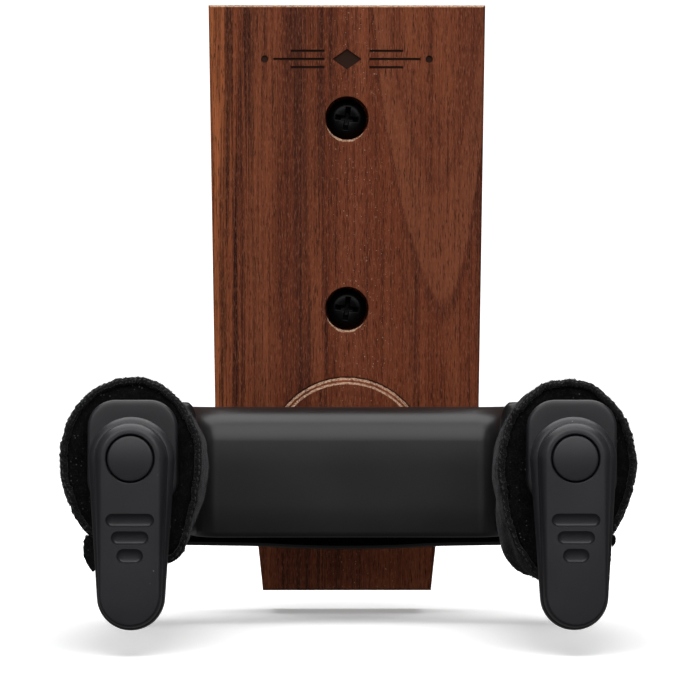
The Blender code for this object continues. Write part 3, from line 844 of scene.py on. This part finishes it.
def settle_cloth(side, sign):
    """Inflate a coarse, slightly slack copy of the sleeve, held at both ends, as cloth."""
    low, high = local_box(f"{side}_sleeve", ARM[side])
    rows, columns = 36, 96
    rings = []
    for i in range(rows + 1):
        along = i / rows
        y = high.y + (low.y - high.y) * along
        ring = []
        for j in range(columns):
            x, z = sleeve_point(side, sign, 2 * pi * j / columns, along, 0, 1)
            ring.append((x * CLOTH_SCALE, y * CLOTH_SCALE, z * CLOTH_SCALE))
        rings.append(ring)
    mesh = loft("cloth_copy", rings, caps=False)
    cloth = new_piece("cloth_copy", mesh, None, None)
    held = cloth.vertex_groups.new(name="held")
    count = len(mesh.vertices)
    held.add(list(range(2 * columns)) + list(range(count - 2 * columns, count)), 1, "REPLACE")
    modifier = cloth.modifiers.new("cloth", "CLOTH")
    settings = modifier.settings
    settings.quality = 6
    settings.mass = 0.3
    settings.tension_stiffness = 15
    settings.compression_stiffness = 15
    settings.shear_stiffness = 4
    settings.bending_stiffness = 0.3
    settings.shrink_min = -0.06
    settings.use_pressure = True
    settings.uniform_pressure_force = 4
    settings.vertex_group_mass = "held"
    settings.effector_weights.gravity = 0
    for number in range(1, CLOTH_FRAMES + 1):
        SCENE.frame_set(number)
    shape = cloth.evaluated_get(bpy.context.evaluated_depsgraph_get()).to_mesh()
    field = []
    for i in range(rows + 1):
        line = []
        for j in range(columns):
            start = Vector(rings[i][j])
            moved = shape.vertices[i * columns + j].co - start
            outward = Vector((start.x, 0, start.z)).normalized()
            line.append(moved.dot(outward) / CLOTH_SCALE)
        creases = []
        for j in range(columns):
            broad = sum(line[(j + k) % columns] for k in range(-CREASE_SPAN, CREASE_SPAN + 1))
            crease = line[j] - broad / (2 * CREASE_SPAN + 1)
            creases.append(CLOTH_LIMIT * tanh(crease / CLOTH_LIMIT))
        field.append(creases)
    SETTLED[side] = field
    bpy.data.objects.remove(cloth)
    bpy.data.meshes.remove(mesh)
    SCENE.frame_set(1)


def sleeve_point(side, sign, angle, along, inward, swelling):
    """One point of the felt, in X and Z: a plain egg section, then slack, folds and a ragged rim."""
    drift, lift, slim, lobes = SET[side]
    low, high = local_box(f"{side}_sleeve", ARM[side])
    half = (high.x - low.x) / 2 - inward - slim * along - 1.5 * MM * (1 - along)
    x, z = arm_radius(angle, half, high.z - inward, -low.z - inward)
    fall = degrees(atan2(-z, -sign * x))
    reach = 0
    for centre, width, rim, behind in lobes:
        share = bell(fall, centre, width)
        reach += rim * MM * share * ease(along, 0.6, 0.98)
        reach += (behind - rim) * MM * share * bell(along, 0.86, 0.09)
    place = Vector((cos(angle) * 1.5, sin(angle) * 1.5, along * 3.2 + 9 * sign))
    reach += 0.42 * MM * noise.fractal(place * 1.4, 0.6, 2, 3)
    folds = sin(along * 46 + 3 * noise.noise(place)) * bell(fall, 40, 50)
    reach += 0.16 * MM * folds * along
    ruffle = sin(along * 74 + angle * 9) * bell(fall, 75, 45)
    reach += 0.25 * MM * ruffle
    reach += 0.2 * MM * sin(pi * max(0, min(1, along)))
    ragged = noise.noise(Vector((cos(angle) * 24, sin(angle) * 24, along * 30)))
    reach += 0.34 * MM * ragged * ease(along, 0.6, 1)
    reach += settled(side, angle, along)
    grown = 1 + reach * swelling / hypot(x, z)
    front = ease(along, 0.3, 1)
    return x * grown + drift * front, z * grown + lift * front


def make_sleeve(side, sign):
    """The felt cover of one arm: a sewn tube, rolled at the front over the panel's seam."""
    low, high = local_box(f"{side}_sleeve", ARM[side])
    rear, front = high.y, low.y
    settle_cloth(side, sign)
    steps, rows = 180, 44
    angles = [2 * pi * i / steps for i in range(steps)]

    def ring(along, inward, swelling=1):
        section = [sleeve_point(side, sign, angle, along, inward, swelling) for angle in angles]
        return upright(section, rear + (front - rear) * along)

    rings = [ring(i / rows, 0.25 * MM * max(0, 1 - i / 3)) for i in range(rows + 1)]
    roll = SLEEVE_ROLL
    length = abs(front - rear)
    for i in range(1, 8):
        turn = radians(180 * i / 7)
        rings.append(ring(1 + roll * sin(turn) / length, roll * (1 - cos(turn))))
    rings += [ring(1 - i / 12, 1.48 * MM, 1 - 0.6 * ease(i, 1, 6)) for i in range(1, 13)]
    sleeve = solid(f"{side}_felt_sleeve", rings, ARM[side], None, True)
    paint(sleeve, FELT)
    stand_for(sleeve, "yoke", "black_felt", f"{side}_sleeve")
    make_stitching(side, [Vector(p) for p in ring(1 + 0.75 * roll / length, roll * 0.7)])
    make_nap(side, sign, ring, roll, length)
    make_tails(side, sign, ring)
    make_end_panel(side, ring)


def make_stitching(side, rim):
    """Overlocked thread round the sleeve's front rim: a twisted cord that follows it."""
    dense = 6
    points = []
    for start, end in zip(rim, rim[1:] + rim[:1]):
        points += [start.lerp(end, k / dense) for k in range(dense)]
    total = len(points)
    sides, twists = 7, 96
    rings = []
    for i, point in enumerate(points):
        tangent = (points[(i + 1) % total] - points[i - 1]).normalized()
        outward = tangent.cross(Vector((0, 1, 0))).normalized()
        ahead = Vector((0, -1, 0))
        phase = 2 * pi * i / total * twists
        uneven = 1 + 0.35 * noise.noise(point * 700)
        ring = []
        for k in range(sides):
            angle = 2 * pi * k / sides
            radius = 0.15 * MM * uneven * (1 + 0.5 * sin(phase + angle))
            ring.append(point + outward * radius * cos(angle) + ahead * radius * sin(angle))
        rings.append(ring)
    cord = solid(f"{side}_rim_stitching", rings, ARM[side], None, True)
    paint(cord, THREAD)
    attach(cord, "yoke")


def spike(shape, root, tip, width):
    """A short tapered fibre, as a closed four-faced sliver."""
    along = (tip - root).normalized()
    side = along.orthogonal().normalized() * width
    third = along.cross(side)
    base = [root + side, root - side * 0.5 + third * 0.87, root - side * 0.5 - third * 0.87]
    verts = [shape.verts.new(p) for p in base] + [shape.verts.new(tip)]
    shape.faces.new((verts[0], verts[2], verts[1]))
    for i in range(3):
        shape.faces.new((verts[i], verts[(i + 1) % 3], verts[3]))


def make_nap(side, sign, ring, roll, length):
    """Loose fibres that stand off the felt, thickest round the front rim."""
    chooser = random.Random(17 if sign > 0 else 23)
    shape = bmesh.new()
    rows = 80
    for row in range(rows):
        along = 1 + roll * 0.95 / length - (row / rows) ** 2.2 * 0.95
        inward = chooser.uniform(0.1, 1.3) * MM if along > 1 else 0
        points = [Vector(p) for p in ring(along, inward)]
        for i, point in enumerate(points):
            if chooser.random() < 0.2:
                continue
            root = point.lerp(points[(i + 1) % len(points)], chooser.random())
            outward = Vector((root.x, 0, root.z)).normalized()
            lean = Vector((chooser.uniform(-1, 1), chooser.uniform(-1, 0.6), chooser.uniform(-1, 1))) * 0.9
            longest = 1.15 if row < 24 else 0.55
            reach = chooser.uniform(0.15, 0.35 + (longest - 0.3) * chooser.random()) * MM
            tip = root + (outward + lean).normalized() * reach
            spike(shape, root - outward * 0.08 * MM, tip, chooser.uniform(0.02, 0.045) * MM)
    nap = new_piece(f"{side}_felt_nap", mesh_of(shape, f"{side}_felt_nap"), ARM[side], None)
    # The fibres' paler felt is partly painted sheen round the rim.
    paint(nap, FIBRES_AND_SHEEN)
    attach(nap, "yoke")


def make_tails(side, sign, ring):
    """Loose ends of the seam allowance under the front of the sleeve."""
    chooser = random.Random(41 if sign > 0 else 29)
    rim = [Vector(p) for p in ring(0.985, 0.4 * MM)]
    count = len(rim)
    toward = -sign
    for index, (outward, drop, width) in enumerate(TAILS[side]):
        centre = -90 - toward * outward
        root = rim[int(((centre % 360) / 360) * count) % count]
        rings = []
        sections = 12
        for s in range(sections + 1):
            t = s / sections
            sag = Vector((0, 0, -drop * MM * t))
            swing = 1.3 * MM * t * sin(3 * t + index)
            curl = Vector((-toward * 0.9 * MM * sin(2.4 * t), swing, 0))
            half = width * MM / 2 * (1 - 0.9 * t**2.4) + chooser.uniform(-0.25, 0.25) * MM * (1 - t)
            thick = 0.55 * MM * (1 - 0.6 * t)
            centre_point = root + sag + curl + Vector((0, 0.9 * MM, 0.8 * MM))
            loop = []
            for k in range(10):
                angle = 2 * pi * k / 10
                wave = 0.35 * MM * sin(3 * t + 2 * cos(angle))
                depth = thick * sin(angle) + wave
                loop.append(centre_point + Vector((half * cos(angle), depth, 0)))
            rings.append(loop)
        tail = solid(f"{side}_seam_tail_{index + 1}", rings, ARM[side], None)
        paint(tail, FELT)
        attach(tail, "yoke")


def make_end_panel(side, ring):
    """The velvet panel inside the sleeve's front rim, pinched round the end cap."""
    low, high = local_box(f"{side}_end_panel", ARM[side])
    edge = [Vector(p) for p in ring(1, 1.25 * MM)]

    def hoop(spread, y):
        points = []
        for rim in edge:
            flat = Vector((rim.x, 0, rim.z))
            inner = flat.normalized() * ARM_BORE
            spot = inner.lerp(flat, spread)
            ripple = 0.12 * MM * noise.noise(spot * 320) * spread
            points.append((spot.x, y + ripple, spot.z))
        return points

    rings = [hoop(i / 6, high.y) for i in range(7)]
    rings += [hoop(1, low.y + 0.3 * MM), hoop(0.985, low.y - 0.3 * MM)]
    for i in range(1, 13):
        spread = 0.985 * (1 - i / 12)
        puff = 0.55 * MM * ease(spread, 0.5, 0.75) * (1 - 0.35 * ease(spread, 0.85, 1))
        rings.append(hoop(spread, low.y - puff))
    panel = solid(f"{side}_velvet_panel", rings, ARM[side], 60, True)
    paint(panel, PANEL_FELT)
    stand_for(panel, "yoke", "black_felt", f"{side}_end_panel")


def make_core(side):
    """The foam tube under the sleeve, a little crowned between its ends."""
    low, high = local_box(f"{side}_pad_core", ARM[side])
    half = (high.x - low.x) / 2
    gap = 1.7 * MM
    steps = 72
    angles = [2 * pi * i / steps for i in range(steps)]

    def ring(y, inward):
        short = inward + gap
        above, below = high.z - short, -low.z - short
        section = [arm_radius(angle, half - short, above, below) for angle in angles]
        return upright(section, y)

    rings = []
    for i in range(5):
        turn = radians(22.5 * i)
        rings.append(ring(high.y - MM * (1 - cos(turn)), MM * (1 - sin(turn))))
    for i in range(1, 8):
        rings.append(ring(high.y - MM + (low.y - high.y + 2 * MM) * i / 8, 0))
    for i in range(5):
        turn = radians(90 - 22.5 * i)
        rings.append(ring(low.y + MM * (1 - cos(turn)), MM * (1 - sin(turn))))
    bore = [(ARM_BORE, low.y + (high.y - low.y) * i / 8) for i in range(9)]
    rings += turned_rings(bore, steps)
    core = solid(f"{side}_foam_core", rings, ARM[side], 50, True)
    paint(core, FOAM)
    stand_for(core, "yoke", "black_foam", f"{side}_pad_core")


# -- End caps and gates --


def rounded_box(width, height, radius, rise):
    """A box with round corners, its middle a given rise above the pivot."""
    x, z = width / 2 - radius, height / 2 - radius
    half = arc((x, rise - z), radius, -90, 0, 12) + arc((x, rise + z), radius, 0, 90, 12)
    return mirrored(half)


def lever_outline(root, tip, length):
    """A big circle at the pivot and a small one near the tip, with the two tangents between."""
    lean = degrees(asin((root - tip) / length))
    outline = arc((0, 0), root, -lean, 180 + lean, 40)
    outline += arc((0, -length), tip, 180 + lean, 360 - lean, 40)
    return outline


def quarter(start_inset, y, radius):
    """Stages, as (inset, y), of a rounded front edge that ends at a depth y."""
    stages = []
    for i in range(6):
        angle = radians(18 * i)
        stages.append((start_inset + radius * (1 - cos(angle)), y + radius * (1 - sin(angle))))
    return stages


def make_end_cap(side):
    """The flat moulded cap between the end panel and the gate."""
    low, high = local_box(f"{side}_end_cap", ARM[side])
    width, height = high.x - low.x, high.z - low.z
    rise = (high.z + low.z) / 2
    outline = rounded_box(width, height, CAP_CORNER, rise)
    stages = [(0.5 * MM, high.y), (0.12 * MM, high.y - 0.15 * MM)]
    stages += [(0, high.y - 0.5 * MM), (0, high.y - 2.5 * MM)]
    stages += quarter(0, low.y + 0.04 * MM, 0.7 * MM)
    stages += [(1.3 * MM, low.y), (3 * MM, low.y)]
    rings = [upright(inset(outline, amount), y) for amount, y in stages]
    cap = solid(f"{side}_cap_moulding", rings)
    cut(cap, cylinder_mesh(PIVOT_BORE, low.y - MM, high.y + MM))
    cap.data.transform(ARM[side])
    crisp(cap.data, 45)
    paint(cap, CAP_PLASTIC)
    stand_for(cap, "yoke", "charcoal_plastic", f"{side}_end_cap")


def gate_stages(rear, step, front):
    """Insets at the root and at the tip, in millimetres, with depths: the step closes up downward."""
    behind = ((0.5, 0.5, 0), (0.12, 0.12, -0.15), (0, 0, -0.5), (0, 0, -2.4))
    middle = ((0, 0, 1.3), (0.08, 0.05, 1), (0.3, 0.15, 0.65), (1, 0.33, 0.05), (1.25, 0.4, 0))
    middle += ((1.33, 0.45, -0.12), (1.36, 0.47, -0.5))
    ahead = ((1.4, 0.5, 2), (1.5, 0.55, 1.35), (1.68, 0.62, 0.95), (1.95, 0.72, 0.6))
    ahead += ((2.6, 0.9, 0.14), (2.85, 1.05, 0.03), (3.1, 1.2, 0))
    groups = ((rear, behind), (step, middle), (front, ahead))
    return [(a, b, level + depth * MM) for level, group in groups for a, b, depth in group]


def make_gate(side):
    """The lever: a base, a stepped upper part, a pocket for the button and three thumb grooves."""
    low, high = local_box(f"{side}_gate", ARM[side])
    root = (high.x - low.x) / 2
    tip = GATE_TIP
    length = -low.z - tip
    front, rear = low.y, high.y
    step = rear - GATE_STEP
    rings = []
    for at_root, at_tip, y in gate_stages(rear, step, front):
        rings.append(upright(lever_outline(root - at_root * MM, tip - at_tip * MM, length), y))
    gate = solid(f"{side}_gate_lever", rings)
    cut(gate, cylinder_mesh(PIVOT_BORE, front - MM, rear + MM))
    pocket = BUTTON_POCKET
    floor = step - 0.3 * MM
    rim = 0.2 * MM
    profile = [(pocket, floor), (pocket, front + rim), (pocket + rim, front), (pocket + rim, front - MM)]
    cut(gate, loft("tool", turned_rings(profile, 96)))
    for z, width, height in GROOVES:
        tool_rings = []
        shapes = ((1.05, 0.74), (0.75, 0.7), (0.5, 0.58), (0.28, 0.4), (0.1, 0.17))
        shapes += ((0, 0), (-0.1, -0.12))
        for inward, deep in shapes:
            w, h = (width - 2 * inward) * MM, (height - 2 * inward) * MM
            ring = [(x, y + z * MM - 0.45 * MM * max(0, inward)) for x, y in stadium(w, h)]
            tool_rings.append(upright(ring, front + deep * MM))
        cut(gate, loft("tool", tool_rings))
    gate.data.transform(ARM[side])
    crisp(gate.data, 42)
    paint(gate, GATE_PLASTIC)
    stand_for(gate, f"{side}_gate", "gate_plastic", f"{side}_gate")


def stadium(width, height):
    """The outline of a slot with round ends."""
    radius = height / 2
    return mirrored(arc((width / 2 - radius, 0), radius, -90, 90, 14))


def make_button(side):
    """The round, slightly domed cover over a gate's pivot screw."""
    low, high = local_box(f"{side}_button_cap", ARM[side])
    radius = (high.x - low.x) / 2 - 0.1 * MM
    profile = [(0.01 * MM, high.y), (radius - 0.3 * MM, high.y), (radius, high.y - 0.3 * MM)]
    profile += [(radius, low.y + 0.75 * MM)]
    for i in range(1, 6):
        angle = radians(18 * i)
        rim = radius - 0.45 * MM * (1 - cos(angle))
        profile.append((rim, low.y + 0.75 * MM - 0.45 * MM * sin(angle)))
    for i in range(1, 8):
        t = i / 8
        profile.append(((radius - 0.45 * MM) * (1 - t), low.y + 0.3 * MM * (1 - t) ** 2))
    profile.append((0.01 * MM, low.y))
    button = solid(f"{side}_button_dome", turned_rings(profile, 72), ARM[side], 40)
    paint(button, GATE_PLASTIC)
    stand_for(button, "yoke", "charcoal_plastic", f"{side}_button_cap")


# -- Stage --


def make_stage():
    """A white sweep: floor in front, curving up into a backdrop well behind the wall plane."""
    depth = 1.6
    rise = 0.5
    profile = [(-2, FLOOR_Z)]
    profile += arc((depth - rise, FLOOR_Z + rise), rise, -90, 0, 16)
    profile += [(depth, 3)]
    shape = bmesh.new()
    rows = [[shape.verts.new((x, y, z)) for x in (-3, 3)] for y, z in profile]
    for low, high in zip(rows, rows[1:]):
        shape.faces.new((low[0], low[1], high[1], high[0]))
    sweep = new_piece("studio_sweep", mesh_of(shape, "studio_sweep"))
    g = Graph("studio_white", (0.9, 0.9, 0.9), 0.9)
    g.set("Specular IOR Level", 0.1)
    g.colour(g.mix(g.noise(3), (0.89, 0.89, 0.89), (0.91, 0.91, 0.91)))
    g.set("Emission Color", (1, 1, 1, 1))
    glow = g.ramp(g.times(g.axis(1), 2), (0.1, SWEEP_GLOW), (0.9, 1))
    g.link(glow, g.shader.inputs["Emission Strength"])
    paint(sweep, g.mat)
    sweep.visible_diffuse = False
    sweep.visible_glossy = False


def area_light(name, location, target, size, energy, glossy=True):
    data = bpy.data.lights.new(name, "AREA")
    data.shape = "RECTANGLE"
    data.size, data.size_y = size
    data.energy = energy
    lamp = bpy.data.objects.new(name, data)
    lamp.location = location
    lamp.rotation_euler = (Vector(target) - Vector(location)).to_track_quat("-Z", "Y").to_euler()
    lamp.visible_glossy = glossy
    SCENE.collection.objects.link(lamp)


def make_lights_and_camera():
    area_light("front_softbox", (0, -0.85, 0.62), (0, -0.08, -0.04), (1.5, 0.95), 9.5)
    area_light("top_softbox", (0, 0.1, 0.8), (0, -0.05, -0.05), (1.2, 1), 10)
    area_light("low_fill", (0, -0.9, -0.3), (0, 0, -0.07), (0.7, 0.3), 2.2, False)
    area_light("left_fill", (-1, -0.6, 0.2), (0, -0.1, -0.05), (0.4, 0.8), 0.3)
    area_light("right_fill", (1, -0.6, 0.2), (0, -0.1, -0.05), (0.4, 0.8), 0.3)
    world = bpy.data.worlds.new("studio_world")
    world.use_nodes = True
    background = world.node_tree.nodes["Background"].inputs
    background[0].default_value = (1, 1, 1, 1)
    background[1].default_value = 0.1
    SCENE.world = world
    SCENE.view_settings.view_transform = "Standard"
    data = bpy.data.cameras.new("camera")
    data.lens = LENS
    data.sensor_width = 36
    data.clip_start = 0.01
    data.clip_end = 50
    camera = bpy.data.objects.new("camera", data)
    camera.location = EYE
    camera.rotation_euler = (Vector(AIM) - Vector(EYE)).to_track_quat("-Z", "Y").to_euler()
    SCENE.collection.objects.link(camera)
    SCENE.camera = camera


def finish_plain_nodes():
    """Materials of the CAD pieces whose shape is already right."""
    steel = ["rear_washer", "spring_washer", "lock_nut", "swivel_stud", "yoke_rod"]
    for side in ARM:
        steel += [f"{side}_pivot_screw", f"{side}_wave_washer"]
    for name in steel:
        paint(NODES[name], STEEL)
    for name in ("hub_bush", "thrust_washer"):
        paint(NODES[name], NYLON)


make_stage()
make_lights_and_camera()
finish_plain_nodes()
make_plate()
make_disc()
make_wall_screw("wall_screw_upper", 8)
make_wall_screw("wall_screw_lower", 8)
make_shell()
for side_name, side_sign in SIDES:
    make_core(side_name)
    make_sleeve(side_name, side_sign)
    make_end_cap(side_name)
    make_gate(side_name)
    make_button(side_name)
